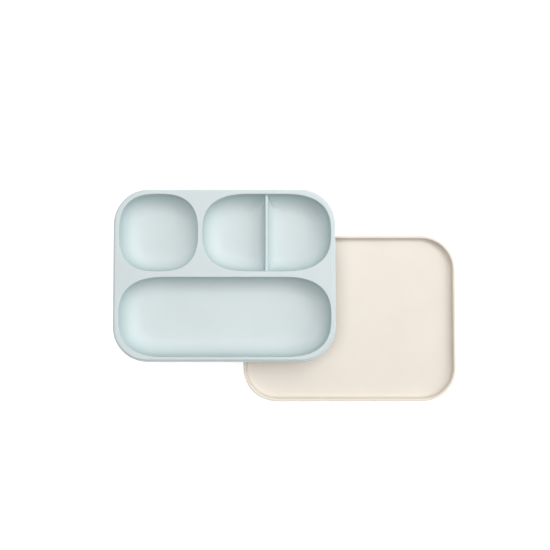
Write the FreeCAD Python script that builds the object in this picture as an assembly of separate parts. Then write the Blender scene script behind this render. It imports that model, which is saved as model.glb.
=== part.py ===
"""Divided silicone suction tray for a small child, with its lid.

The tray stands level on four soft suction cups. The lid lies upside down on the table, tucked
under the tray's front right quarter, so that one cup stands on the lid's panel. Millimetres, +Z up.
The origin is on the table, under the middle of tray and lid together. One STEP file per piece.
"""

import FreeCAD, Part
import math
import os
from collections import namedtuple

from FreeCAD import Vector

# ---------------------------------------------------------------- tray: overall
tray_length = 240.0  # along X
tray_width = 186.5  # along Y
tray_corner_radius = 38.0
land_height = 39.0  # top of the flat land, above the table
land_thickness = 3.0
land_edge_radius = 1.0
shoulder_step = 2.8  # how far the lid's neck stands in from the outline
neck_height = 3.5
shoulder_height = 4.5
shoulder_edge_radius = 1.2

# ---------------------------------------------------------------- tray: wells
well_depth = 21.0
well_wall = 2.5
well_draft = 2.0  # how far each wall leans in between the land and the floor
well_floor_radius = 18.0
well_rim_radius = 0.8
corner_fullness = 0.72  # a quarter curve's handle, 0.55 for an ellipse, 1 for a sharp corner

margin_left = 7.2  # land, from the outline to the nearest well
margin_right = 5.5
margin_rear = 6.0
margin_front = 5.9
land_between_rows = 6.2
land_between_rear_wells = 4.6
rear_row_width = 83.1  # along Y
left_well_length = 84.6  # along X
left_well_reach = 42.3  # how far along X a corner's curve runs
wide_well_reach = 53.0

divider_thickness = 3.2
divider_drop = 4.5  # from the land down to the divider's top
divider_top_radius = 0.9
divider_lean = 0.4  # each side, from top to foot
divider_foot_radius = 12.0

# ---------------------------------------------------------------- suction cups
cup_inset_x = 42.0  # cup centres, in from the tray's outline
cup_inset_y = 28.75
cup_radius = 17.0
cup_lip = 0.8
cup_hollow = 3.2
cup_height = 5.2
cup_shoulder_radius = 5.0
cup_neck_radius = 3.5
cup_head_radius = 5.2
cup_head_height = 2.0
cup_travel = 3.0

socket_clearance = 0.3
end_gap = 0.15  # above and below the head at the ends of its travel
socket_lip = 1.8
socket_wall = 2.6
dome_gap = 0.4  # between a pressed cup and its socket

tab_root_radius = 18.5  # from the cup's axis to the flexing root
tab_gap = 0.2
tab_length = 9.0
tab_width = 8.0
tab_thickness = 1.4
tab_bead_radius = 0.9

# ---------------------------------------------------------------- lid
lid_clearance = 0.3  # round the tray's neck
lid_skirt = 3.2
lid_panel = 2.0
lid_depth = 6.6  # inside, from the panel to the skirt's lip
lid_inner_radius = 1.8
lid_outer_radius = 2.6
lid_lip_radius = 1.3
lid_overlap = 101.4  # how far the lid lies under the tray, in from the tray's right side
lid_cup_gap = 1.65  # from the lid's rear side to the rear right cup

# ---------------------------------------------------------------- worked out
neck_length = tray_length - 2 * shoulder_step
neck_width = tray_width - 2 * shoulder_step
neck_corner_radius = tray_corner_radius - shoulder_step
shoulder_top = land_height - neck_height
rim_bottom = shoulder_top - shoulder_height
floor_top = land_height - well_depth
floor_bottom = floor_top - well_wall
ring_width = shoulder_step + well_wall + 1.0

socket_bottom = cup_height + cup_travel + dome_gap
chamber_bottom = socket_bottom + socket_lip
chamber_top = chamber_bottom + cup_head_height + cup_travel + 2 * end_gap
head_bottom = chamber_bottom + end_gap

lid_length = neck_length + 2 * (lid_clearance + lid_skirt)
lid_width = neck_width + 2 * (lid_clearance + lid_skirt)
lid_corner_radius = neck_corner_radius + lid_clearance + lid_skirt
lid_height = lid_panel + lid_depth

cup_x = tray_length / 2 - cup_inset_x
cup_y = tray_width / 2 - cup_inset_y
lid_shift_x = tray_length / 2 - lid_overlap + lid_length / 2
lid_shift_y = cup_y - cup_radius - lid_cup_gap - lid_width / 2

left = min(-tray_length / 2, lid_shift_x - lid_length / 2)
right = max(tray_length / 2, lid_shift_x + lid_length / 2)
front = min(-tray_width / 2, lid_shift_y - lid_width / 2)
rear = max(tray_width / 2, lid_shift_y + lid_width / 2)
tray_middle = Vector(-(left + right) / 2, -(front + rear) / 2, 0)
lid_middle = tray_middle + Vector(lid_shift_x, lid_shift_y, 0)

Well = namedtuple("Well", "x y length width reach")
CupPlace = namedtuple("CupPlace", "name middle turn lift")


def edges_where(shape, test):
    """The shape's edges whose middle point passes the test."""
    found = []
    for edge in shape.Edges:
        middle = edge.valueAt((edge.FirstParameter + edge.LastParameter) / 2)
        if test(middle, edge):
            found.append(edge)
    return found


def level(edge, height):
    """True when the whole edge lies at this height."""
    box = edge.BoundBox
    return abs(box.ZMin - height) < 1e-3 and abs(box.ZMax - height) < 1e-3


def rounded_block(length, width, radius, bottom, top):
    """An upright block round the Z axis with four round corners."""
    block = Part.makeBox(length, width, top - bottom, Vector(-length / 2, -width / 2, bottom))
    uprights = [e for e in block.Edges if e.BoundBox.ZLength > (top - bottom) / 2]
    return block.makeFillet(radius, uprights)


def quarter(start, start_handle, end_handle, end):
    """One corner of a well's outline: a curve that leaves and meets its sides in line."""
    curve = Part.BezierCurve()
    curve.setPoles([start, start_handle, end_handle, end])
    return curve.toShape()


def well_outline(well, grow, height):
    """A well's outline at this height, moved outwards by grow."""
    half_x = well.length / 2 + grow
    half_y = well.width / 2 + grow
    reach_x = well.reach + grow
    corners = []
    for sign_x, sign_y in ((1, 1), (-1, 1), (-1, -1), (1, -1)):
        side = Vector(sign_x * half_x, 0, 0)
        side_handle = Vector(sign_x * half_x, sign_y * half_y * corner_fullness, 0)
        end = Vector(sign_x * (half_x - reach_x), sign_y * half_y, 0)
        end_handle = end + Vector(sign_x * reach_x * corner_fullness, 0, 0)
        points = [side, side_handle, end_handle, end]
        corners.append(points if sign_x == sign_y else points[::-1])
    edges = []
    for index, points in enumerate(corners):
        edges.append(quarter(*points))
        following = corners[(index + 1) % len(corners)][0]
        if points[-1].distanceToPoint(following) > 1e-6:
            edges.append(Part.makeLine(points[-1], following))
    wire = Part.Wire(edges)
    wire.translate(Vector(well.x, well.y, height))
    return wire


def well_form(well, grow, bottom, top):
    """The solid that fills a well, with leaning walls and a soft foot, moved outwards by grow."""
    lean = well_draft / well_depth
    lean_in = grow - well_draft - lean * (floor_top - bottom)
    lean_out = grow + lean * (top - land_height)
    outlines = [well_outline(well, lean_in, bottom), well_outline(well, lean_out, top)]
    form = Part.makeLoft(outlines, True, True)
    foot = edges_where(form, lambda middle, edge: level(edge, bottom))
    return form.makeFillet(well_floor_radius + grow, foot)


def wells():
    """The three wells, with their middles and sizes, in the tray's own frame."""
    inner_left = -tray_length / 2 + margin_left
    inner_right = tray_length / 2 - margin_right
    inner_rear = tray_width / 2 - margin_rear
    inner_front = -tray_width / 2 + margin_front
    wide_left = inner_left + left_well_length + land_between_rear_wells
    long_rear = inner_rear - rear_row_width - land_between_rows

    rear_front = inner_rear - rear_row_width

    def well(x_low, x_high, y_low, y_high, reach):
        return Well((x_low + x_high) / 2, (y_low + y_high) / 2, x_high - x_low, y_high - y_low, reach)

    return {
        "left": well(inner_left, inner_left + left_well_length, rear_front, inner_rear, left_well_reach),
        "wide": well(wide_left, inner_right, rear_front, inner_rear, wide_well_reach),
        "long": well(inner_left, inner_right, inner_front, long_rear, wide_well_reach),
    }


def cup_places():
    """Each cup's name, its middle in the tray's frame, its tab's direction and its standing height."""
    places = []
    for row, sign_y in (("rear", 1), ("front", -1)):
        for side, sign_x in (("left", -1), ("right", 1)):
            middle = Vector(sign_x * cup_x, sign_y * cup_y, 0)
            on_lid = row == "front" and side == "right"
            turn = math.degrees(math.atan2(sign_y, sign_x))
            places.append(CupPlace(f"{row}_{side}", middle, turn, lid_panel if on_lid else 0.0))
    return places


def divider(well, cutter):
    """The low wall across the middle of a well, with a round top and a soft foot."""
    top = land_height - divider_drop
    half_top = divider_thickness / 2
    half_foot = half_top + divider_lean
    foot_top = floor_top + divider_foot_radius
    below = floor_top - well_wall / 2
    bend = divider_foot_radius * (1 - math.sqrt(0.5))

    def point(side, across, height):
        return Vector(side * across, -well.width, height)

    edges = []
    for side in (1, -1):
        edges += [
            Part.makeLine(point(side, 0, top), point(side, half_top, top)),
            Part.makeLine(point(side, half_top, top), point(side, half_foot, foot_top)),
            Part.Arc(
                point(side, half_foot, foot_top),
                point(side, half_foot + bend, floor_top + bend),
                point(side, half_foot + divider_foot_radius, floor_top),
            ).toShape(),
            Part.makeLine(
                point(side, half_foot + divider_foot_radius, floor_top),
                point(side, half_foot + divider_foot_radius, below),
            ),
        ]
    edges.append(
        Part.makeLine(
            point(1, half_foot + divider_foot_radius, below),
            point(-1, half_foot + divider_foot_radius, below),
        )
    )
    section = Part.Face(Part.Wire(Part.__sortEdges__(edges)))
    wall = section.extrude(Vector(0, 2 * well.width, 0))
    ridge = edges_where(
        wall, lambda middle, edge: level(edge, top) and abs(abs(middle.x) - half_top) < 1e-3
    )
    wall = wall.makeFillet(divider_top_radius, ridge)
    wall.translate(Vector(well.x, well.y, 0))
    return wall.common(cutter)


def socket_boss(middle):
    """The round boss under a well's floor that holds a cup's head."""
    radius = cup_head_radius + socket_clearance + socket_wall
    height = floor_top - well_wall / 2 - socket_bottom
    boss = Part.makeCylinder(radius, height, middle + Vector(0, 0, socket_bottom))
    mouth = edges_where(boss, lambda point, edge: level(edge, socket_bottom))
    return boss.makeFillet(socket_lip / 2, mouth)


def socket_hollow(middle):
    """The hole and the chamber inside a boss."""
    hole = Part.makeCylinder(
        cup_neck_radius + socket_clearance,
        chamber_bottom - socket_bottom + 2 * end_gap,
        middle + Vector(0, 0, socket_bottom - end_gap),
    )
    chamber = Part.makeCylinder(
        cup_head_radius + socket_clearance,
        chamber_top - chamber_bottom,
        middle + Vector(0, 0, chamber_bottom),
    )
    return hole.fuse(chamber)


def tray_body():
    """The tray: land, neck and shoulder for the lid, three wells, a divider and four sockets."""
    neck = rounded_block(neck_length, neck_width, neck_corner_radius, rim_bottom, land_height)
    land_edge = edges_where(neck, lambda middle, edge: level(edge, land_height))
    neck = neck.makeFillet(land_edge_radius, land_edge)
    shoulder = rounded_block(tray_length, tray_width, tray_corner_radius, rim_bottom, shoulder_top)
    shoulder = shoulder.makeFillet(
        shoulder_edge_radius,
        edges_where(shoulder, lambda middle, edge: level(edge, shoulder_top) or level(edge, rim_bottom)),
    )
    hollow = rounded_block(
        tray_length - 2 * ring_width,
        tray_width - 2 * ring_width,
        tray_corner_radius - ring_width,
        rim_bottom - 1,
        land_height - land_thickness,
    )
    body = neck.fuse(shoulder).cut(hollow)
    layout = wells()
    for well in layout.values():
        body = body.fuse(well_form(well, well_wall, floor_bottom, land_height - land_thickness / 2))
    cutters = {name: well_form(well, 0, floor_top, land_height + 1) for name, well in layout.items()}
    for cutter in cutters.values():
        body = body.cut(cutter)
    rims = edges_where(
        body,
        lambda middle, edge: level(edge, land_height)
        and abs(middle.x) < neck_length / 2 - land_edge_radius - 0.2
        and any(
            abs(middle.x - well.x) < well.length / 2 + 0.1 and abs(middle.y - well.y) < well.width / 2 + 0.1
            for well in layout.values()
        ),
    )
    body = body.makeFillet(well_rim_radius, rims)
    body = body.fuse(divider(layout["wide"], cutters["wide"]))
    for place in cup_places():
        body = body.fuse(socket_boss(place.middle)).cut(socket_hollow(place.middle))
    return body.removeSplitter()


def suction_cup():
    """One cup with its neck, head and tab root, at the origin, tab towards +X."""
    rim = 2 * cup_lip / 3
    dome_middle = (cup_radius + cup_shoulder_radius) / 2
    hollow_edge = cup_radius - cup_lip
    outline = [
        Part.Arc(
            Vector(0, 0, cup_hollow),
            Vector(hollow_edge / 2, 0, cup_hollow * 0.8),
            Vector(hollow_edge, 0, 0),
        ).toShape(),
        Part.makeLine(Vector(hollow_edge, 0, 0), Vector(cup_radius, 0, 0)),
        Part.makeLine(Vector(cup_radius, 0, 0), Vector(cup_radius, 0, rim)),
        Part.Arc(
            Vector(cup_radius, 0, rim),
            Vector(dome_middle, 0, (rim + cup_height) / 2 + cup_lip / 2),
            Vector(cup_shoulder_radius, 0, cup_height),
        ).toShape(),
        Part.makeLine(Vector(cup_shoulder_radius, 0, cup_height), Vector(cup_neck_radius, 0, cup_height)),
        Part.makeLine(Vector(cup_neck_radius, 0, cup_height), Vector(cup_neck_radius, 0, head_bottom)),
        Part.makeLine(Vector(cup_neck_radius, 0, head_bottom), Vector(cup_head_radius, 0, head_bottom)),
        Part.makeLine(
            Vector(cup_head_radius, 0, head_bottom),
            Vector(cup_head_radius, 0, head_bottom + cup_head_height / 2),
        ),
        Part.Arc(
            Vector(cup_head_radius, 0, head_bottom + cup_head_height / 2),
            Vector(cup_neck_radius + 0.4, 0, head_bottom + cup_head_height * 0.9),
            Vector(cup_neck_radius - 0.8, 0, head_bottom + cup_head_height),
        ).toShape(),
        Part.makeLine(
            Vector(cup_neck_radius - 0.8, 0, head_bottom + cup_head_height),
            Vector(0, 0, head_bottom + cup_head_height),
        ),
        Part.makeLine(Vector(0, 0, head_bottom + cup_head_height), Vector(0, 0, cup_hollow)),
    ]
    cup = Part.Face(Part.Wire(outline)).revolve(Vector(0, 0, 0), Vector(0, 0, 1), 360)
    root_start = cup_radius - cup_lip
    root = Part.makeBox(
        tab_root_radius - root_start,
        tab_width,
        tab_thickness,
        Vector(root_start, -tab_width / 2, 0),
    )
    return cup.fuse(root).removeSplitter()


def release_tab():
    """The tongue that lifts a cup's lip, at the origin, pointing towards +X. Its root is half round."""
    half = tab_thickness / 2
    axis = tab_root_radius + tab_gap + half
    end_middle = tab_root_radius + tab_gap + tab_length - tab_width / 2
    root = Part.makeCylinder(half, tab_width, Vector(axis, -tab_width / 2, half), Vector(0, 1, 0))
    tongue = Part.makeBox(end_middle - axis, tab_width, tab_thickness, Vector(axis, -tab_width / 2, 0))
    tip = Part.makeCylinder(tab_width / 2, tab_thickness, Vector(end_middle, 0, 0))
    bead = Part.makeCylinder(
        tab_bead_radius, tab_width / 2, Vector(end_middle, -tab_width / 4, tab_thickness), Vector(0, 1, 0)
    )
    return tongue.fuse(root).fuse(tip).fuse(bead).removeSplitter()


def lid():
    """The lid, upside down: a flat panel with its skirt standing up."""
    shell = rounded_block(lid_length, lid_width, lid_corner_radius, 0, lid_height)
    shell = shell.makeFillet(lid_outer_radius, edges_where(shell, lambda middle, edge: level(edge, 0)))
    recess = rounded_block(
        lid_length - 2 * lid_skirt,
        lid_width - 2 * lid_skirt,
        lid_corner_radius - lid_skirt,
        lid_panel,
        lid_height + 1,
    )
    recess_foot = edges_where(recess, lambda middle, edge: level(edge, lid_panel))
    recess = recess.makeFillet(lid_inner_radius, recess_foot)
    shell = shell.cut(recess)
    return shell.makeFillet(lid_lip_radius, edges_where(shell, lambda middle, edge: level(edge, lid_height)))


def placed(shape, turn, shift):
    """A copy turned about Z by turn degrees, then moved."""
    copy = shape.copy()
    copy.rotate(Vector(0, 0, 0), Vector(0, 0, 1), turn)
    copy.translate(shift)
    return copy


def build():
    """Every piece in its place."""
    pieces = {
        "tray_body": placed(tray_body(), 0, tray_middle),
        "lid": placed(lid(), 0, lid_middle),
    }
    cup = suction_cup()
    tab = release_tab()
    for place in cup_places():
        shift = tray_middle + place.middle + Vector(0, 0, place.lift)
        pieces[f"suction_cup_{place.name}"] = placed(cup, place.turn, shift)
        pieces[f"release_tab_{place.name}"] = placed(tab, place.turn, shift)
    return pieces


os.makedirs("parts", exist_ok=True)
for node, shape in build().items():
    print(f"{node}: {len(shape.Solids)} solid, valid {shape.isValid()}, {shape.Volume / 1000:.2f} cm3")
    shape.Solids[0].exportStep(f"parts/{node}.step")
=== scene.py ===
"""A divided silicone suction tray with its lid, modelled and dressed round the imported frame.

The tray stands level on four plug-in suction cups. The lid lies upside down on the table, with the
tray's front right quarter over it. Everything is in metres, in the frame's own axes.
"""

import logging
import math
from dataclasses import dataclass, replace
from enum import Enum
from typing import Callable, ClassVar

import bmesh
import bpy
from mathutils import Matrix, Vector


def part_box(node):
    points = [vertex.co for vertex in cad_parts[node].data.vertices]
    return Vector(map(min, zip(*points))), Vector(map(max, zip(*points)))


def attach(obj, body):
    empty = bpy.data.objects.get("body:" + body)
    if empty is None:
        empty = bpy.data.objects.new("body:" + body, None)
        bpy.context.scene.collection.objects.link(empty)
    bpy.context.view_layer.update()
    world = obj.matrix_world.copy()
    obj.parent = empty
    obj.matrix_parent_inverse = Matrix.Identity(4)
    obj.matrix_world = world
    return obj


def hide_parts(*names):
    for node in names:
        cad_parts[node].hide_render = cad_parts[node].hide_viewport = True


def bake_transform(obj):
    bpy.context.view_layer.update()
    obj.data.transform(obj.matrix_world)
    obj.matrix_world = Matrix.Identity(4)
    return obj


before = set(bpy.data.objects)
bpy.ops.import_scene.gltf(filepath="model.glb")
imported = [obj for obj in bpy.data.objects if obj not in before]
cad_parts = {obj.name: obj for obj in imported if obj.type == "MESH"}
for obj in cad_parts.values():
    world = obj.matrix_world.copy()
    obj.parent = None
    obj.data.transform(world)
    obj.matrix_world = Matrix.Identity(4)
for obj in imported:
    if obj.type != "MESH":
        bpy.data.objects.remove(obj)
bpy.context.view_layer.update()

MM = 0.001
OVER = 1.0 * MM  # how far a cutter stands out of what it cuts
APART = 0.01 * MM  # keeps faces that would share a plane off each other
LEAD = 0.2 * MM  # a form's first straight stretch, before its first turn
SAME_POINT = 0.004 * MM
SAME_CORNER = 0.15 * MM
SHARP_DEGREES = 40.0  # edges that turn more than this stay sharp
FLAT_DEGREES = 0.05
LOG = logging.getLogger("tray")

Step = tuple[float, float]


class Facing(Enum):
    """Which way a flat outline looks, and so which way its steps go."""

    UP = 1.0
    DOWN = -1.0


class Join(Enum):
    """How one solid is put together with another."""

    ADD = "UNION"
    TAKE = "DIFFERENCE"
    KEEP = "INTERSECT"


class Corner(Enum):
    """How full an outline's corners are, as the bevel's profile value."""

    ROUND = 0.5
    SOFT = 0.593


# ------------------------------------------------------------------------------- profiles


def bend_over(radius: float, start: float, end: float, count: int) -> list[Step]:
    """Steps round an edge that turns from inward to along the wall.

    Args:
        radius: The edge's radius.
        start: The slope at its start, in degrees, 0 for inward and 90 for along the wall.
        end: The slope at its end, in degrees, more than start.
        count: How many steps.

    Returns:
        Each step's inset and advance.
    """
    angles = [math.radians(start + (end - start) * i / count) for i in range(count + 1)]
    return [
        (radius * (math.sin(b) - math.sin(a)), radius * (math.cos(a) - math.cos(b)))
        for a, b in zip(angles, angles[1:])
    ]


def bend_under(radius: float, start: float, end: float, count: int) -> list[Step]:
    """Steps round a foot or a top edge that turns from along the wall to inward.

    Args:
        radius: The edge's radius.
        start: The slope at its start, in degrees, 90 for along the wall and 0 for inward.
        end: The slope at its end, in degrees, less than start.
        count: How many steps.

    Returns:
        Each step's inset and advance.
    """
    angles = [math.radians(start + (end - start) * i / count) for i in range(count + 1)]
    return [
        (radius * (math.sin(a) - math.sin(b)), radius * (math.cos(b) - math.cos(a)))
        for a, b in zip(angles, angles[1:])
    ]


def sunk(steps: list[Step]) -> list[Step]:
    """The same steps going back into the form."""
    return [(inset, -by) for inset, by in steps]


def total(steps: list[Step]) -> Step:
    """The inset and the advance of all steps together."""
    return sum(s[0] for s in steps), sum(s[1] for s in steps)


# ------------------------------------------------------------------------------- modelling


def deselect_all() -> None:
    """Leaves no object selected."""
    bpy.ops.object.select_all(action="DESELECT")


def make_active(piece: bpy.types.Object) -> None:
    """Selects this object alone and makes it the active one."""
    deselect_all()
    piece.select_set(True)
    bpy.context.view_layer.objects.active = piece


@dataclass
class Outline:
    """A flat outline with four like corners and straight or no stretches between them."""

    middle: Vector
    length: float
    width: float
    reach_x: float
    reach_y: float
    corner: Corner
    segments: int

    def grown(self, by: float) -> "Outline":
        """The same outline moved outwards on all sides."""
        return replace(
            self,
            length=self.length + 2 * by,
            width=self.width + 2 * by,
            reach_x=self.reach_x + by,
            reach_y=self.reach_y + by,
        )

    def moved(self, by: Vector) -> "Outline":
        """The same outline with its middle moved."""
        return replace(self, middle=self.middle + by)


def disc(middle: Vector, radius: float, segments: int) -> Outline:
    """A round outline with four times this many sides."""
    return Outline(middle, 2 * radius, 2 * radius, radius, radius, Corner.ROUND, segments)


class Form:
    """A closed form raised from one flat outline by inset and extrude steps."""

    NEARLY: ClassVar[float] = 0.999
    LEVEL: ClassVar[float] = 1e-6

    def __init__(self, name: str, outline: Outline, height: float, facing: Facing) -> None:
        """Draws the outline as one flat face.

        Args:
            name: The new object's name.
            outline: The outline, with its middle.
            height: Where it lies along Z.
            facing: Which way the steps will go.
        """
        deselect_all()
        bpy.ops.mesh.primitive_plane_add(size=2.0, location=(0, 0, 0))
        self.piece = bpy.context.active_object
        self.piece.name = name
        self.facing = facing
        bpy.ops.object.mode_set(mode="EDIT")
        bpy.ops.mesh.select_all(action="SELECT")
        bpy.ops.mesh.bevel(
            offset_type="OFFSET",
            offset=self.NEARLY,
            segments=outline.segments,
            profile=outline.corner.value,
            affect="VERTICES",
            clamp_overlap=False,
        )
        bpy.ops.mesh.select_all(action="SELECT")
        bpy.ops.transform.resize(value=(outline.reach_x, outline.reach_y, 1.0), center_override=(0, 0, 0))
        self._spread(0, outline.length / 2 - outline.reach_x)
        self._spread(1, outline.width / 2 - outline.reach_y)
        bpy.ops.mesh.select_all(action="SELECT")
        bpy.ops.mesh.remove_doubles(threshold=SAME_CORNER)
        bpy.ops.transform.translate(value=(outline.middle.x, outline.middle.y, height))
        if facing is Facing.DOWN:
            bpy.ops.mesh.flip_normals()
        bpy.ops.mesh.select_mode(type="FACE")
        bpy.ops.mesh.select_all(action="SELECT")

    def _spread(self, axis: int, by: float) -> None:
        """Moves the outline's two halves apart along X (0) or Y (1), each by this much."""
        for sign in (1.0, -1.0):
            bpy.ops.mesh.select_mode(type="VERT")
            bpy.ops.mesh.select_all(action="DESELECT")
            mesh = bmesh.from_edit_mesh(self.piece.data)
            for vertex in mesh.verts:
                if vertex.co[axis] * sign > 0:
                    vertex.select_set(True)
            bmesh.update_edit_mesh(self.piece.data)
            move = [0.0, 0.0, 0.0]
            move[axis] = sign * by
            bpy.ops.transform.translate(value=move)

    def select_faces(self, test: Callable[[bmesh.types.BMFace], bool]) -> None:
        """Selects the faces that pass a test, and no others."""
        bpy.ops.mesh.select_mode(type="FACE")
        bpy.ops.mesh.select_all(action="DESELECT")
        mesh = bmesh.from_edit_mesh(self.piece.data)
        for face in mesh.faces:
            if test(face):
                face.select_set(True)
        bmesh.update_edit_mesh(self.piece.data)

    def advance(self, by: float) -> None:
        """Extrudes the selected face straight along the form's facing."""
        move = (0.0, 0.0, self.facing.value * by)
        bpy.ops.mesh.extrude_region_move(TRANSFORM_OT_translate={"value": move})

    def follow(self, steps: list[Step]) -> None:
        """Insets and advances the selected face, step by step."""
        for inset, by in steps:
            bpy.ops.mesh.inset(thickness=inset, depth=by, use_even_offset=True)

    def widen(self, factor: float, middle: Vector) -> None:
        """Draws the selected face out to a larger one at the same height, about this middle."""
        bpy.ops.mesh.extrude_region_move(TRANSFORM_OT_translate={"value": (0.0, 0.0, 0.0)})
        bpy.ops.transform.resize(value=(factor, factor, 1.0), center_override=(middle.x, middle.y, 0.0))

    def turn_over(self) -> None:
        """Takes the form's first face as the selected one, to go on from the other side."""
        bpy.ops.mesh.select_all(action="SELECT")
        bpy.ops.mesh.normals_make_consistent(inside=False)
        self.facing = Facing.UP if self.facing is Facing.DOWN else Facing.DOWN
        sign = self.facing.value
        mesh = bmesh.from_edit_mesh(self.piece.data)
        ends = [face for face in mesh.faces if face.normal.z * sign > self.NEARLY]
        last = max(face.calc_center_median().z * sign for face in ends)
        self.select_faces(
            lambda face: face.normal.z * sign > self.NEARLY
            and last - face.calc_center_median().z * sign < self.LEVEL
        )

    def cut_off(self, place: Vector, away: Vector) -> None:
        """Cuts the form at a plane, keeps one side and closes the cut.

        Args:
            place: A point of the plane.
            away: The plane's normal, towards the side that stays.
        """
        bpy.ops.mesh.select_all(action="SELECT")
        bpy.ops.mesh.bisect(plane_co=place, plane_no=away, clear_inner=True, use_fill=True)

    def done(self) -> bpy.types.Object:
        """Leaves edit mode with every face outwards.

        Returns:
            The finished form, its place in its mesh.
        """
        bpy.ops.mesh.select_all(action="SELECT")
        bpy.ops.mesh.normals_make_consistent(inside=False)
        bpy.ops.object.mode_set(mode="OBJECT")
        return self.piece


def combine(target: bpy.types.Object, tool: bpy.types.Object, join: Join) -> bpy.types.Object:
    """Joins, cuts or intersects one solid with another, which is used up.

    Args:
        target: The solid that is kept.
        tool: The solid that is used up.
        join: How they are put together.

    Returns:
        The target.
    """
    make_active(target)
    change = target.modifiers.new(join.name, "BOOLEAN")
    change.operation = join.value
    change.solver = "EXACT"
    change.object = tool
    bpy.ops.object.modifier_apply(modifier=change.name)
    bpy.data.objects.remove(tool)
    return target


def clean(piece: bpy.types.Object) -> None:
    """Merges a finished solid's leftover doubles and gives it smooth faces with true flats."""
    make_active(piece)
    bpy.ops.object.mode_set(mode="EDIT")
    bpy.ops.mesh.select_all(action="SELECT")
    bpy.ops.mesh.remove_doubles(threshold=SAME_POINT)
    bpy.ops.mesh.dissolve_limited(angle_limit=math.radians(FLAT_DEGREES))
    bpy.ops.mesh.select_all(action="SELECT")
    bpy.ops.mesh.normals_make_consistent(inside=False)
    bpy.ops.object.mode_set(mode="OBJECT")
    bpy.ops.object.shade_smooth_by_angle(angle=math.radians(SHARP_DEGREES))
    weigh = piece.modifiers.new("true_flats", "WEIGHTED_NORMAL")
    weigh.keep_sharp = True
    weigh.weight = 80
    bpy.ops.object.modifier_apply(modifier=weigh.name)


# ------------------------------------------------------------------------------- finishes


class Effects:
    """Shader node groups that more than one finish uses, each built once."""

    def __init__(self) -> None:
        """Builds every group."""
        self.tone = self._tone()
        self.grain = self._grain()
        self.dust = self._dust()

    @staticmethod
    def _group(name: str, inputs: dict[str, float], outputs: dict[str, str]) -> bpy.types.NodeTree:
        """An empty group with object coordinates ready.

        Args:
            name: The group's name.
            inputs: Its number inputs with their usual values.
            outputs: Its outputs with their socket types.

        Returns:
            The group's tree.
        """
        tree = bpy.data.node_groups.new(name, "ShaderNodeTree")
        for label, value in inputs.items():
            socket = tree.interface.new_socket(label, in_out="INPUT", socket_type="NodeSocketFloat")
            socket.default_value = value
        for label, kind in outputs.items():
            tree.interface.new_socket(label, in_out="OUTPUT", socket_type=kind)
        return tree

    def _tone(self) -> bpy.types.NodeTree:
        """Slow cloudy change of colour, as pigment has in a moulding. Puts out one mask."""
        tree = self._group("pigment_clouds", {"Size": 60.0, "Amount": 0.5}, {"Mask": "NodeSocketFloat"})
        net = Net(tree)
        given, result = net.add("NodeGroupInput"), net.add("NodeGroupOutput")
        place = net.add("ShaderNodeTexCoord")
        slow = net.add("ShaderNodeTexNoise", Detail=3.0, Roughness=0.6)
        fast = net.add("ShaderNodeTexNoise", Detail=2.0, Scale=700.0)
        both = net.math("MULTIPLY_ADD", fast.outputs["Fac"], 0.35, slow.outputs["Fac"])
        shaped = net.add("ShaderNodeMapRange")
        net.values(shaped, {"From Min": 0.45, "From Max": 0.95})
        net.join(place.outputs["Object"], slow.inputs["Vector"])
        net.join(place.outputs["Object"], fast.inputs["Vector"])
        net.join(given.outputs["Size"], slow.inputs["Scale"])
        net.join(both, shaped.inputs["Value"])
        mask = net.math("MULTIPLY", shaped.outputs["Result"], given.outputs["Amount"])
        net.join(mask, result.inputs["Mask"])
        return tree

    def _grain(self) -> bpy.types.NodeTree:
        """The fine blasted texture of a mould. Puts out a height and a mask."""
        outputs = {"Height": "NodeSocketFloat", "Mask": "NodeSocketFloat"}
        tree = self._group("mould_grain", {"Scale": 2200.0}, outputs)
        net = Net(tree)
        given, result = net.add("NodeGroupInput"), net.add("NodeGroupOutput")
        place = net.add("ShaderNodeTexCoord")
        grit = net.add("ShaderNodeTexNoise", Detail=4.0, Roughness=0.65)
        pits = net.add("ShaderNodeTexVoronoi")
        broad = net.add("ShaderNodeTexNoise", Scale=14.0, Detail=2.0)
        net.join(place.outputs["Object"], grit.inputs["Vector"])
        net.join(place.outputs["Object"], pits.inputs["Vector"])
        net.join(place.outputs["Object"], broad.inputs["Vector"])
        net.join(given.outputs["Scale"], grit.inputs["Scale"])
        net.join(net.math("MULTIPLY", given.outputs["Scale"], 0.6), pits.inputs["Scale"])
        height = net.math("MULTIPLY_ADD", pits.outputs["Distance"], 0.5, grit.outputs["Fac"])
        net.join(height, result.inputs["Height"])
        mask = net.math("MULTIPLY_ADD", broad.outputs["Fac"], 1.2, grit.outputs["Fac"])
        net.join(net.math("MULTIPLY", mask, 0.5), result.inputs["Mask"])
        return tree

    def _dust(self) -> bpy.types.NodeTree:
        """Sparse specks of lint that silicone picks up, only on faces that look up. Puts out a mask."""
        tree = self._group("lint_specks", {"Scale": 160.0, "Radius": 0.035}, {"Mask": "NodeSocketFloat"})
        net = Net(tree)
        given, result = net.add("NodeGroupInput"), net.add("NodeGroupOutput")
        place = net.add("ShaderNodeTexCoord")
        cells = net.add("ShaderNodeTexVoronoi")
        chance = net.add("ShaderNodeSeparateColor")
        upward = net.add("ShaderNodeSeparateXYZ")
        facing = net.add("ShaderNodeNewGeometry")
        net.join(place.outputs["Object"], cells.inputs["Vector"])
        net.join(given.outputs["Scale"], cells.inputs["Scale"])
        net.join(cells.outputs["Color"], chance.inputs["Color"])
        net.join(facing.outputs["Normal"], upward.inputs["Vector"])
        near = net.math("LESS_THAN", cells.outputs["Distance"], given.outputs["Radius"])
        rare = net.math("GREATER_THAN", chance.outputs["Red"], 0.8)
        up = net.math("GREATER_THAN", upward.outputs["Z"], 0.5)
        net.join(net.math("MULTIPLY", net.math("MULTIPLY", near, rare), up), result.inputs["Mask"])
        return tree


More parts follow.
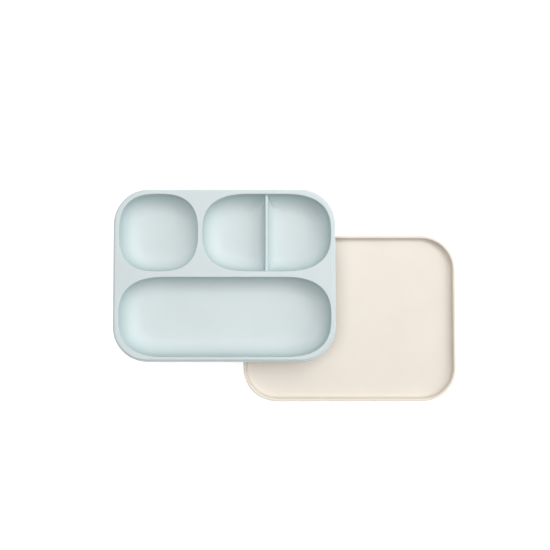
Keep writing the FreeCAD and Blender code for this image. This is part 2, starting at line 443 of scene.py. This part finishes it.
class Net:
    """Short ways to add and join a node tree's nodes."""

    def __init__(self, tree: bpy.types.NodeTree) -> None:
        """Works on this tree."""
        self.tree = tree

    def add(self, kind: str, **values: float) -> bpy.types.Node:
        """Adds a node and sets the inputs named here."""
        node = self.tree.nodes.new(kind)
        self.values(node, values)
        return node

    def group(self, tree: bpy.types.NodeTree, **values: float) -> bpy.types.Node:
        """Places a node group and sets the inputs named here."""
        node = self.tree.nodes.new("ShaderNodeGroup")
        node.node_tree = tree
        self.values(node, values)
        return node

    @staticmethod
    def values(node: bpy.types.Node, values: dict[str, float]) -> None:
        """Sets a node's inputs by name."""
        for label, value in values.items():
            node.inputs[label].default_value = value

    def join(self, source: bpy.types.NodeSocket, target: bpy.types.NodeSocket) -> None:
        """Links an output to an input."""
        self.tree.links.new(source, target)

    def math(self, operation: str, *inputs: bpy.types.NodeSocket | float) -> bpy.types.NodeSocket:
        """Adds a math node on these inputs and gives its output."""
        node = self.tree.nodes.new("ShaderNodeMath")
        node.operation = operation
        for index, given in enumerate(inputs):
            if isinstance(given, (int, float)):
                node.inputs[index].default_value = given
            else:
                self.join(given, node.inputs[index])
        return node.outputs[0]


@dataclass(frozen=True)
class Silicone:
    """One matte silicone finish, as linear colours and surface values."""

    name: str
    colour: tuple[float, float, float]
    shade: tuple[float, float, float]
    # wall is painted shade: the deeper colour mixed in where a face stands steep
    wall: tuple[float, float, float]
    roughness: float
    sheen: float
    softness: float
    grain_scale: float = 2200.0
    grain_height: float = 0.03 * MM
    grain_strength: float = 0.35
    rough_spread: float = 0.07
    sheen_roughness: float = 0.45
    refraction: float = 1.41
    soft_depth: float = 2.0 * MM
    soft_radius: tuple[float, float, float] = (1.0, 0.9, 0.8)
    cloud_size: float = 22.0
    cloud_amount: float = 0.8
    lint: tuple[float, float, float] = (0.86, 0.86, 0.84)
    lint_amount: float = 0.3

    def material(self, effects: Effects) -> bpy.types.Material:
        """Builds the finish, with painted shade: a deeper colour where a face stands steep.

        Args:
            effects: The shared node groups.

        Returns:
            A material that reads object coordinates.
        """
        material = bpy.data.materials.new(self.name)
        material.use_nodes = True
        net = Net(material.node_tree)
        shader = material.node_tree.nodes["Principled BSDF"]
        tone = net.group(effects.tone, Size=self.cloud_size, Amount=self.cloud_amount)
        grain = net.group(effects.grain, Scale=self.grain_scale)
        dust = net.group(effects.dust)

        # Painted shade: the steeper a face, the more it takes of the wall colour, as if it stood in shade.
        facing, upward = net.add("ShaderNodeNewGeometry"), net.add("ShaderNodeSeparateXYZ")
        net.join(facing.outputs["Normal"], upward.inputs["Vector"])
        steep = net.math("SUBTRACT", 1.0, net.math("ABSOLUTE", upward.outputs["Z"]))

        cloudy = self._mix(net, tone.outputs["Mask"], self.colour, self.shade)
        painted_wall_shade = self._mix(net, steep, None, self.wall)
        specks = net.math("MULTIPLY", dust.outputs["Mask"], self.lint_amount)
        dusty = self._mix(net, specks, None, self.lint)
        net.join(cloudy.outputs["Result"], painted_wall_shade.inputs["A"])
        net.join(painted_wall_shade.outputs["Result"], dusty.inputs["A"])
        net.join(dusty.outputs["Result"], shader.inputs["Base Color"])

        rough = net.add("ShaderNodeMapRange")
        low, high = self.roughness - self.rough_spread, self.roughness + self.rough_spread
        net.values(rough, {"To Min": low, "To Max": high})
        net.join(grain.outputs["Mask"], rough.inputs["Value"])
        net.join(rough.outputs["Result"], shader.inputs["Roughness"])

        bump = net.add("ShaderNodeBump", Strength=self.grain_strength, Distance=self.grain_height)
        net.join(grain.outputs["Height"], bump.inputs["Height"])
        net.join(bump.outputs["Normal"], shader.inputs["Normal"])

        net.values(shader, {"Sheen Weight": self.sheen, "Sheen Roughness": self.sheen_roughness})
        net.values(shader, {"Subsurface Weight": self.softness, "Subsurface Scale": self.soft_depth})
        net.values(shader, {"IOR": self.refraction})
        shader.inputs["Subsurface Radius"].default_value = self.soft_radius
        return material

    @staticmethod
    def _mix(
        net: Net,
        amount: bpy.types.NodeSocket,
        low: tuple[float, float, float] | None,
        high: tuple[float, float, float],
    ) -> bpy.types.Node:
        """Adds a colour mix driven by a mask, and leaves its first colour open if none is given."""
        node = net.tree.nodes.new("ShaderNodeMix")
        node.data_type = "RGBA"
        mixer = MixNode(node)
        net.join(amount, mixer.inputs["Factor"])
        if low is not None:
            mixer.inputs["A"].default_value = (*low, 1.0)
        mixer.inputs["B"].default_value = (*high, 1.0)
        return mixer


class MixNode:
    """A colour mix node's own sockets by name, since it also holds unused number ones."""

    def __init__(self, node: bpy.types.Node) -> None:
        """Finds the colour sockets."""
        colour = {s.name: s for s in node.inputs if s.type == "RGBA"}
        factor = next(s for s in node.inputs if s.name == "Factor" and s.type == "VALUE")
        self.inputs = {**colour, "Factor": factor}
        self.outputs = {"Result": next(s for s in node.outputs if s.type == "RGBA")}


TRAY_FINISH = Silicone(
    name="pale_blue_silicone",
    colour=(0.575, 0.635, 0.638),
    shade=(0.545, 0.606, 0.612),
    # painted shade for steep faces
    wall=(0.49, 0.60, 0.605),
    roughness=0.66,
    sheen=0.04,
    softness=0.1,
)
CUP_FINISH = Silicone(
    name="pale_blue_cup_silicone",
    colour=(0.53, 0.60, 0.61),
    shade=(0.50, 0.575, 0.585),
    # painted shade for steep faces
    wall=(0.48, 0.575, 0.585),
    roughness=0.45,
    sheen=0.08,
    softness=0.15,
    grain_height=0.015 * MM,
)
LID_FINISH = Silicone(
    name="cream_silicone",
    colour=(0.725, 0.67, 0.605),
    shade=(0.70, 0.64, 0.57),
    # painted shade for steep faces
    wall=(0.72, 0.655, 0.57),
    roughness=0.64,
    sheen=0.04,
    softness=0.1,
)


# ------------------------------------------------------------------------------- the tray


@dataclass
class TrayBody:
    """The tray's one moulding, with its wells, divider, rim and cup sockets."""

    RIM_START: ClassVar[float] = 8.0

    low: Vector
    high: Vector
    cups: list[Vector]
    corner_radius: float = 38.0 * MM
    corner_segments: int = 24
    shoulder_step: float = 2.8 * MM
    shoulder_height: float = 4.5 * MM
    shoulder_edge: float = 1.2 * MM
    parting_step: float = 0.1 * MM
    neck_height: float = 3.5 * MM
    neck_foot: float = 0.5 * MM
    land_edge: float = 1.0 * MM
    land_thickness: float = 3.0 * MM
    wall: float = 2.5 * MM
    ring: float = 3.5 * MM
    margin_left: float = 7.2 * MM
    margin_right: float = 5.5 * MM
    margin_rear: float = 6.0 * MM
    margin_front: float = 5.9 * MM
    between_rows: float = 6.2 * MM
    between_rear_wells: float = 4.6 * MM
    rear_row: float = 83.1 * MM
    square_length: float = 84.6 * MM
    wide_reach: float = 53.0 * MM
    well_segments: int = 32
    depth: float = 21.0 * MM
    draft: float = 2.0 * MM
    foot_radius: float = 18.0 * MM
    rim_radius: float = 0.8 * MM
    divider_drop: float = 4.5 * MM
    divider_thickness: float = 3.2 * MM
    divider_top: float = 0.9 * MM
    divider_lean: float = 2.0
    divider_foot: float = 14.5 * MM
    divider_squash: float = 0.7
    divider_flare: float = 11.0 * MM
    divider_past: float = 8.0 * MM
    divider_sink: float = 0.03 * MM
    divider_reach: float = 18.0 * MM
    socket_radius: float = 8.1 * MM
    socket_foot: float = 1.5 * MM
    socket_lip: float = 1.8 * MM
    chamber_radius: float = 5.5 * MM
    chamber_height: float = 5.3 * MM
    hole_radius: float = 3.8 * MM

    @property
    def middle(self) -> Vector:
        """The tray's middle in plan."""
        return Vector(((self.low.x + self.high.x) / 2, (self.low.y + self.high.y) / 2, 0.0))

    @property
    def land(self) -> float:
        """The land's height."""
        return self.high.z

    @property
    def floor(self) -> float:
        """The wells' floor height."""
        return self.land - self.depth

    @property
    def lean(self) -> float:
        """How far the wells' walls lean, in degrees."""
        return math.degrees(math.atan2(self.draft, self.depth))

    def wells(self) -> dict[str, Outline]:
        """The square well, the wide well and the long well, each as its outline at the land."""
        left = self.low.x + self.margin_left
        right = self.high.x - self.margin_right
        rear = self.high.y - self.margin_rear
        front = self.low.y + self.margin_front
        row = rear - self.rear_row
        wide_left = left + self.square_length + self.between_rear_wells

        def outline(x0: float, x1: float, y0: float, y1: float, reach: float) -> Outline:
            middle = Vector(((x0 + x1) / 2, (y0 + y1) / 2, 0.0))
            return Outline(middle, x1 - x0, y1 - y0, reach, (y1 - y0) / 2, Corner.SOFT, self.well_segments)

        return {
            "square_well": outline(left, left + self.square_length, row, rear, self.square_length / 2),
            "wide_well": outline(wide_left, right, row, rear, self.wide_reach),
            "long_well": outline(left, right, front, row - self.between_rows, self.wide_reach),
        }

    @staticmethod
    def down_steps(depth: float, rim: float, foot: float, lean: float) -> list[Step]:
        """The steps from a rim down to a floor, with a wall that leans in.

        Args:
            depth: From the rim down to the floor.
            rim: The rim edge's radius, 0 for none.
            foot: The foot's radius.
            lean: The wall's lean in degrees.

        Returns:
            Each step's inset and advance.
        """
        top = bend_over(rim, TrayBody.RIM_START, 90.0 - lean, 8) if rim else []
        bottom = bend_under(foot, 90.0 - lean, 0.0, 16)
        wall = depth - total(top)[1] - total(bottom)[1]
        return [*top, (wall * math.tan(math.radians(lean)), wall), *bottom]

    def cutter(self, name: str, outline: Outline) -> bpy.types.Object:
        """The solid that a well is cut with, with a soft rim."""
        rim_in, rim_down = total(bend_over(self.rim_radius, self.RIM_START, 90.0 - self.lean, 8))
        wider = rim_in - rim_down * self.draft / self.depth
        form = Form(name, outline.grown(wider), self.land + OVER + APART, Facing.DOWN)
        form.advance(OVER)
        form.follow(self.down_steps(self.depth, self.rim_radius, self.foot_radius, self.lean))
        return form.done()

    def lining(self, name: str, outline: Outline, grow: float) -> bpy.types.Object:
        """A well's own space moved outwards by grow, from inside the land down."""
        start = self.land - self.land_thickness / 2
        leant = math.tan(math.radians(self.lean)) * (self.land - start)
        depth = start - (self.floor - grow) - LEAD
        form = Form(name, outline.grown(grow - leant), start, Facing.DOWN)
        form.advance(LEAD)
        form.follow(self.down_steps(depth, 0.0, self.foot_radius + grow, self.lean))
        return form.done()

    def divider(self, well: Outline) -> bpy.types.Object:
        """The low wall across the wide well, its foot and its ends flared into the well."""
        top = self.land - self.divider_drop
        bury = self.wall / 2
        block_outline = Outline(
            well.middle, 2 * self.divider_reach, well.width + 2 * bury, bury, bury, Corner.ROUND, 1
        )
        block = Form("divider", block_outline, self.floor - bury, Facing.UP)
        block.advance(top - self.floor + bury)
        part = combine(block.done(), self.lining("divider_room", well, bury), Join.KEEP)
        edge = self.divider_top
        corner = self.divider_flare + edge
        length = 2 * self.divider_reach + 2 * corner
        width = well.width + 2 * (edge + self.divider_past)
        room = Outline(well.middle, length, width, corner, corner, Corner.ROUND, 20)
        rim = bend_over(edge, self.RIM_START, 90.0 - self.divider_lean, 8)
        foot = bend_under(self.divider_foot, 90.0 - self.divider_lean, 0.0, 16)
        face = top - self.floor + self.divider_sink - total(rim)[1] - total(foot)[1]
        narrowed = [(inset * self.divider_squash, by) for inset, by in foot]
        steps = [*rim, (face * math.tan(math.radians(self.divider_lean)), face), *narrowed]
        strip = self.divider_thickness / 2 - edge
        for side in (-1.0, 1.0):
            beside = room.moved(Vector((side * (strip + length / 2), 0.0, 0.0)))
            space = Form("compartment", beside, top + OVER + APART, Facing.DOWN)
            space.advance(OVER)
            space.follow(steps)
            combine(part, space.done(), Join.TAKE)
        return part

    def blank(self) -> bpy.types.Object:
        """The land, neck and shoulder, hollow underneath, before the wells go in."""
        outline = Outline(
            self.middle,
            self.high.x - self.low.x,
            self.high.y - self.low.y,
            self.corner_radius,
            self.corner_radius,
            Corner.ROUND,
            self.corner_segments,
        )
        bottom = self.land - self.neck_height - self.shoulder_height
        edge = self.shoulder_edge
        side = (self.shoulder_height - 2 * edge) / 2
        form = Form("tray", outline, bottom + edge, Facing.UP)
        form.advance(side)
        form.follow([(self.parting_step, 0.0)])
        form.advance(side)
        form.follow(bend_under(edge, 90.0, 0.0, 6))
        form.follow([(self.shoulder_step - edge - self.parting_step - self.neck_foot, 0.0)])
        form.follow(bend_over(self.neck_foot, 0.0, 90.0, 4))
        form.advance(self.neck_height - self.neck_foot - self.land_edge)
        form.follow(bend_under(self.land_edge, 90.0, 0.0, 10))
        form.turn_over()
        form.follow(bend_under(edge, 90.0, 0.0, 6))
        form.follow([(self.shoulder_step + self.ring - edge, 0.0)])
        form.advance(-(self.land - self.land_thickness - bottom))
        return form.done()

    def boss(self, cup: Vector) -> bpy.types.Object:
        """The round boss under a well's floor for one cup, with a soft foot and mouth."""
        start = self.floor - self.wall / 2
        under = self.floor - self.wall
        mouth = self.socket_lip / 2
        form = Form("boss", disc(cup, self.socket_radius + self.socket_foot, 16), start, Facing.DOWN)
        form.advance(start - under)
        form.follow(bend_over(self.socket_foot, 0.0, 90.0, 6))
        form.advance(under - self.low.z - self.socket_foot - mouth)
        form.follow(bend_under(mouth, 90.0, 0.0, 5))
        return form.done()

    def chamber(self, cup: Vector) -> bpy.types.Object:
        """The hollow in a boss: a chamber for the head and a hole for the neck."""
        top = self.low.z + self.socket_lip + self.chamber_height
        form = Form("chamber", disc(cup, self.chamber_radius, 12), top, Facing.DOWN)
        form.advance(self.chamber_height)
        form.follow([(self.chamber_radius - self.hole_radius, 0.0)])
        form.advance(self.socket_lip + OVER)
        return form.done()

    def build(self) -> bpy.types.Object:
        """Models the whole moulding."""
        body = self.blank()
        wells = self.wells()
        for name, outline in wells.items():
            combine(body, self.lining(name + "_wall", outline, self.wall), Join.ADD)
        for cup in self.cups:
            combine(body, self.boss(cup), Join.ADD)
        for name, outline in wells.items():
            combine(body, self.cutter(name, outline), Join.TAKE)
        for cup in self.cups:
            combine(body, self.chamber(cup), Join.TAKE)
        combine(body, self.divider(wells["wide_well"]), Join.ADD)
        clean(body)
        return body


# ------------------------------------------------------------------------------- the lid


@dataclass
class Lid:
    """The lid, upside down: a flat panel with its skirt standing up."""

    low: Vector
    high: Vector
    corner_radius: float = 38.7 * MM
    corner_segments: int = 24
    skirt: float = 3.2 * MM
    panel: float = 2.0 * MM
    foot_radius: float = 3.6 * MM
    outer_radius: float = 2.6 * MM
    lip_radius: float = 1.3 * MM

    def build(self) -> bpy.types.Object:
        """Models the lid."""
        middle = Vector(((self.low.x + self.high.x) / 2, (self.low.y + self.high.y) / 2, 0.0))
        length, width = self.high.x - self.low.x, self.high.y - self.low.y
        reach = self.corner_radius
        outline = Outline(middle, length, width, reach, reach, Corner.ROUND, self.corner_segments)
        bottom, top = self.low.z, self.high.z
        depth = top - bottom - self.panel
        form = Form("lid_moulding", outline, bottom + self.outer_radius + LEAD, Facing.DOWN)
        form.advance(LEAD)
        form.follow(bend_under(self.outer_radius, 90.0, 0.0, 8))
        form.turn_over()
        form.advance(top - bottom - self.outer_radius - LEAD - self.lip_radius)
        form.follow(bend_under(self.lip_radius, 90.0, 0.0, 8))
        form.follow([(self.skirt - 2 * self.lip_radius, 0.0)])
        form.follow(sunk(bend_over(self.lip_radius, 0.0, 90.0, 8)))
        form.advance(-(depth - self.lip_radius - self.foot_radius))
        form.follow(sunk(bend_under(self.foot_radius, 90.0, 0.0, 8)))
        lid = form.done()
        clean(lid)
        return lid


# ------------------------------------------------------------------------------- cups and tabs


@dataclass
class SuctionCup:
    """One plug-in cup, modelled at the origin with its tab root towards +X."""

    radius: float = 17.0 * MM
    lip: float = 0.8 * MM
    lip_edge: float = 0.15 * MM
    rim: float = 0.53 * MM
    hollow: float = 3.2 * MM
    height: float = 5.2 * MM
    bulge: float = 0.4 * MM
    shoulder: float = 5.0 * MM
    neck: float = 3.5 * MM
    neck_foot: float = 0.8 * MM
    head: float = 5.2 * MM
    head_bottom: float = 10.55 * MM
    head_height: float = 2.0 * MM
    root_end: float = 18.5 * MM
    root_width: float = 8.0 * MM
    root_thickness: float = 1.4 * MM
    root_edge: float = 0.3 * MM
    segments: int = 20

    def dome(self) -> list[Step]:
        """The steps from the lip up to the shoulder."""
        count = 10
        run, rise = self.radius - self.shoulder, self.height - self.rim
        shares = [i / count for i in range(count + 1)]
        heights = [rise * t + 4 * self.bulge * t * (1 - t) for t in shares]
        return [(run / count, b - a) for a, b in zip(heights, heights[1:])]

    def underside(self) -> list[Step]:
        """The steps from the lip up into the hollow."""
        count = 12
        start = self.radius - self.lip
        radii = [start * (1 - t / (count + 1)) for t in range(count + 1)]
        heights = [self.hollow * (1 - (r / start) ** 2) for r in radii]
        return [(r0 - r1, h1 - h0) for r0, r1, h0, h1 in zip(radii, radii[1:], heights, heights[1:])]

    def build(self) -> bpy.types.Object:
        """Models one cup."""
        origin = Vector((0.0, 0.0, 0.0))
        form = Form("cup", disc(origin, self.radius, self.segments), self.rim, Facing.UP)
        form.advance(APART)
        form.follow(self.dome())
        form.follow([(self.shoulder - self.neck - self.neck_foot, 0.0)])
        form.follow(bend_over(self.neck_foot, 0.0, 90.0, 5))
        form.advance(self.head_bottom - self.height - self.neck_foot - APART)
        form.widen(self.head / self.neck, origin)
        form.advance(self.head_height / 3)
        form.follow(bend_under(self.head_height * 2 / 3, 90.0, 0.0, 8))
        form.turn_over()
        form.advance(self.rim - self.lip_edge)
        form.follow(bend_under(self.lip_edge, 90.0, 0.0, 3))
        form.follow([(self.lip - 2 * self.lip_edge, 0.0)])
        form.follow(sunk(bend_over(self.lip_edge, 0.0, 70.0, 3)))
        form.follow(sunk(self.underside()))
        cup = form.done()
        combine(cup, self.root(), Join.ADD)
        clean(cup)
        return cup

    def root(self) -> bpy.types.Object:
        """The lug on the lip that carries the release tab."""
        start = self.radius - self.lip
        half = self.root_thickness / 2
        edge = self.root_edge
        middle = Vector(((start + self.root_end) / 2, 0.0, 0.0))
        outline = Outline(middle, self.root_end - start, self.root_width, edge, edge, Corner.ROUND, 4)
        form = Form("root", outline, half, Facing.UP)
        form.advance(half - edge)
        form.follow(bend_under(edge, 90.0, 0.0, 4))
        form.turn_over()
        form.advance(half - edge)
        form.follow(bend_under(edge, 90.0, 0.0, 4))
        return form.done()


@dataclass
class ReleaseTab:
    """One release tab, modelled at the origin and pointing towards +X."""

    start: float = 17.6 * MM
    end: float = 27.7 * MM
    width: float = 8.0 * MM
    thickness: float = 1.4 * MM
    thinner: float = 0.03 * MM
    edge: float = 0.45 * MM
    bead_length: float = 4.6 * MM
    bead_width: float = 1.7 * MM
    bead_height: float = 0.85 * MM
    bead_edge: float = 0.765 * MM
    bend_start: float = 18.2 * MM
    bend_end: float = 21.5 * MM

    def build(self) -> bpy.types.Object:
        """Models one tab with its grip bead."""
        half = self.thickness / 2
        reach = self.width / 2
        first = self.start - reach
        middle = Vector(((first + self.end) / 2, 0.0, 0.0))
        outline = Outline(middle, self.end - first, self.width, reach, reach, Corner.ROUND, 14)
        form = Form("tab", outline, half, Facing.UP)
        form.advance(half - self.edge - self.thinner)
        form.follow(bend_under(self.edge, 90.0, 0.0, 5))
        form.turn_over()
        form.advance(half - self.edge - self.thinner)
        form.follow(bend_under(self.edge, 90.0, 0.0, 5))
        form.cut_off(Vector((self.start, 0.0, 0.0)), Vector((1.0, 0.0, 0.0)))
        tab = combine(form.done(), self.bead(), Join.ADD)
        clean(tab)
        return tab

    def bead(self) -> bpy.types.Object:
        """The raised bar that a finger finds."""
        middle = Vector((self.end - self.width / 2, 0.0, 0.0))
        reach = self.bead_width / 2
        outline = Outline(middle, self.bead_width, self.bead_length, reach, reach, Corner.ROUND, 6)
        form = Form("bead", outline, self.thickness / 2, Facing.UP)
        form.advance(self.thickness / 2 + self.bead_height - self.bead_edge)
        form.follow(bend_under(self.bead_edge, 90.0, 10.0, 6))
        return form.done()


def placed_copy(piece: bpy.types.Object, name: str, turn: float, shift: Vector) -> bpy.types.Object:
    """A copy with its own mesh, turned about Z and moved, its place in its mesh.

    Args:
        piece: The finished piece, modelled at the origin.
        name: The copy's name.
        turn: Its turn about Z in radians.
        shift: Its move.

    Returns:
        The copy.
    """
    make_active(piece)
    bpy.ops.object.duplicate()
    copy = bpy.context.active_object
    copy.name = name
    copy.rotation_euler.z = turn
    copy.location = shift
    bpy.ops.object.transform_apply(location=True, rotation=True, scale=True)
    return copy


# ------------------------------------------------------------------------------- the studio


@dataclass
class Studio:
    """A pale floor, soft light from above, the left, the right and the rear, and the camera.

    Each lamp has its bearing from the rear and its height, both in degrees, and its power in watts.
    The camera looks at a point beside the tray's middle, so that tray and lid fill the picture evenly.
    """

    LAMPS: ClassVar[tuple[tuple[str, float, float, float], ...]] = (
        ("key", 45.0, 52.0, 9.5),
        ("left", 270.0, 75.0, 12.5),
        ("right", 90.0, 30.0, 12.0),
        ("rear", 0.0, 50.0, 4.5),
    )

    ASIDE: ClassVar[Vector] = Vector((54.6 * MM, 0.1 * MM, 0.0))

    target: Vector
    floor_size: float = 8.0
    floor_tone: float = 0.93
    floor_glow: float = 0.35
    sky: float = 0.19
    camera_height: float = 0.47
    lens: float = 28.78
    tilt: float = 1.5
    lamp_distance: float = 1.6
    lamp_size: float = 1.0

    def floor(self) -> None:
        """A wide, almost white floor."""
        bpy.ops.mesh.primitive_plane_add(size=self.floor_size, location=(0.0, 0.0, 0.0))
        plane = bpy.context.active_object
        plane.name = "floor"
        material = bpy.data.materials.new("white_floor")
        material.use_nodes = True
        shader = material.node_tree.nodes["Principled BSDF"]
        shader.inputs["Base Color"].default_value = (*[self.floor_tone] * 3, 1.0)
        shader.inputs["Roughness"].default_value = 0.9
        shader.inputs["Specular IOR Level"].default_value = 0.1
        shader.inputs["Emission Color"].default_value = (1.0, 1.0, 1.0, 1.0)
        shader.inputs["Emission Strength"].default_value = self.floor_glow
        plane.data.materials.append(material)

    def lamp(self, name: str, place: Vector, size: float, power: float) -> None:
        """A square soft lamp that looks at the target."""
        light = bpy.data.lights.new(name, "AREA")
        light.size = size
        light.energy = power
        holder = bpy.data.objects.new(name, light)
        bpy.context.scene.collection.objects.link(holder)
        holder.location = self.target + place
        holder.rotation_euler = place.to_track_quat("Z", "Y").to_euler()

    def camera(self) -> None:
        """Looks down on the tray, with hardly any tilt."""
        data = bpy.data.cameras.new("camera")
        data.sensor_width = 36.0
        data.lens = self.lens
        holder = bpy.data.objects.new("camera", data)
        bpy.context.scene.collection.objects.link(holder)
        angle = math.radians(self.tilt)
        back = Vector((0.0, -math.sin(angle), math.cos(angle)))
        holder.location = self.target + back * self.camera_height
        holder.rotation_euler = (angle, 0.0, 0.0)
        bpy.context.scene.camera = holder

    def build(self) -> None:
        """Sets up floor, light and camera."""
        self.floor()
        for name, bearing, height, power in self.LAMPS:
            turn, rise = math.radians(bearing), math.radians(height)
            flat = math.cos(rise)
            way = Vector((math.sin(turn) * flat, math.cos(turn) * flat, math.sin(rise)))
            self.lamp(name, way * self.lamp_distance, self.lamp_size, power)
        world = bpy.data.worlds.new("room")
        world.use_nodes = True
        sky = world.node_tree.nodes["Background"]
        sky.inputs["Color"].default_value = (1.0, 1.0, 1.0, 1.0)
        sky.inputs["Strength"].default_value = self.sky
        bpy.context.scene.world = world
        bpy.context.scene.view_settings.view_transform = "Standard"
        self.camera()


def dress(piece: bpy.types.Object, material: bpy.types.Material, node: str) -> None:
    """Gives a piece its finish, hides the CAD node it stands for and logs which node that is."""
    piece.data.materials.clear()
    piece.data.materials.append(material)
    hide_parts(node)
    LOG.info("%s stands for %s: %d faces", piece.name, node, len(piece.data.polygons))


def main() -> None:
    """Builds and dresses every piece in order."""
    logging.basicConfig(level=logging.INFO, format="%(name)s: %(message)s")
    effects = Effects()
    corners = ("rear_left", "rear_right", "front_left", "front_right")
    cup_boxes = {corner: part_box(f"suction_cup_{corner}") for corner in corners}
    cup_size = SuctionCup()
    places = {}
    for corner, (low, high) in cup_boxes.items():
        x = low.x + cup_size.radius
        y = low.y + cup_size.radius
        places[corner] = Vector((x, y, low.z))

    low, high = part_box("tray_body")
    body = TrayBody(low, high, [Vector((p.x, p.y, 0.0)) for p in places.values()])
    tray = body.build()
    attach(tray, "tray")
    dress(tray, TRAY_FINISH.material(effects), "tray_body")

    low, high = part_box("lid")
    lid = Lid(low, high).build()
    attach(lid, "lid")
    dress(lid, LID_FINISH.material(effects), "lid")

    tab_size = ReleaseTab()
    cup, tab = cup_size.build(), tab_size.build()
    finish = CUP_FINISH.material(effects)
    for corner, place in places.items():
        turn = math.atan2(1.0 if "rear" in corner else -1.0, 1.0 if "right" in corner else -1.0)
        cup_copy = placed_copy(cup, f"cup_{corner}", turn, place)
        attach(cup_copy, f"cup_{corner}")
        dress(cup_copy, finish, f"suction_cup_{corner}")
        tab_copy = placed_copy(tab, f"tab_{corner}", turn, place)
        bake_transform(tab_copy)
        dress(tab_copy, finish, f"release_tab_{corner}")
    bpy.data.objects.remove(cup)
    bpy.data.objects.remove(tab)

    Studio(target=body.middle + Vector((0.0, 0.0, body.land)) + Studio.ASIDE).build()


if __name__ == "__main__":
    main()
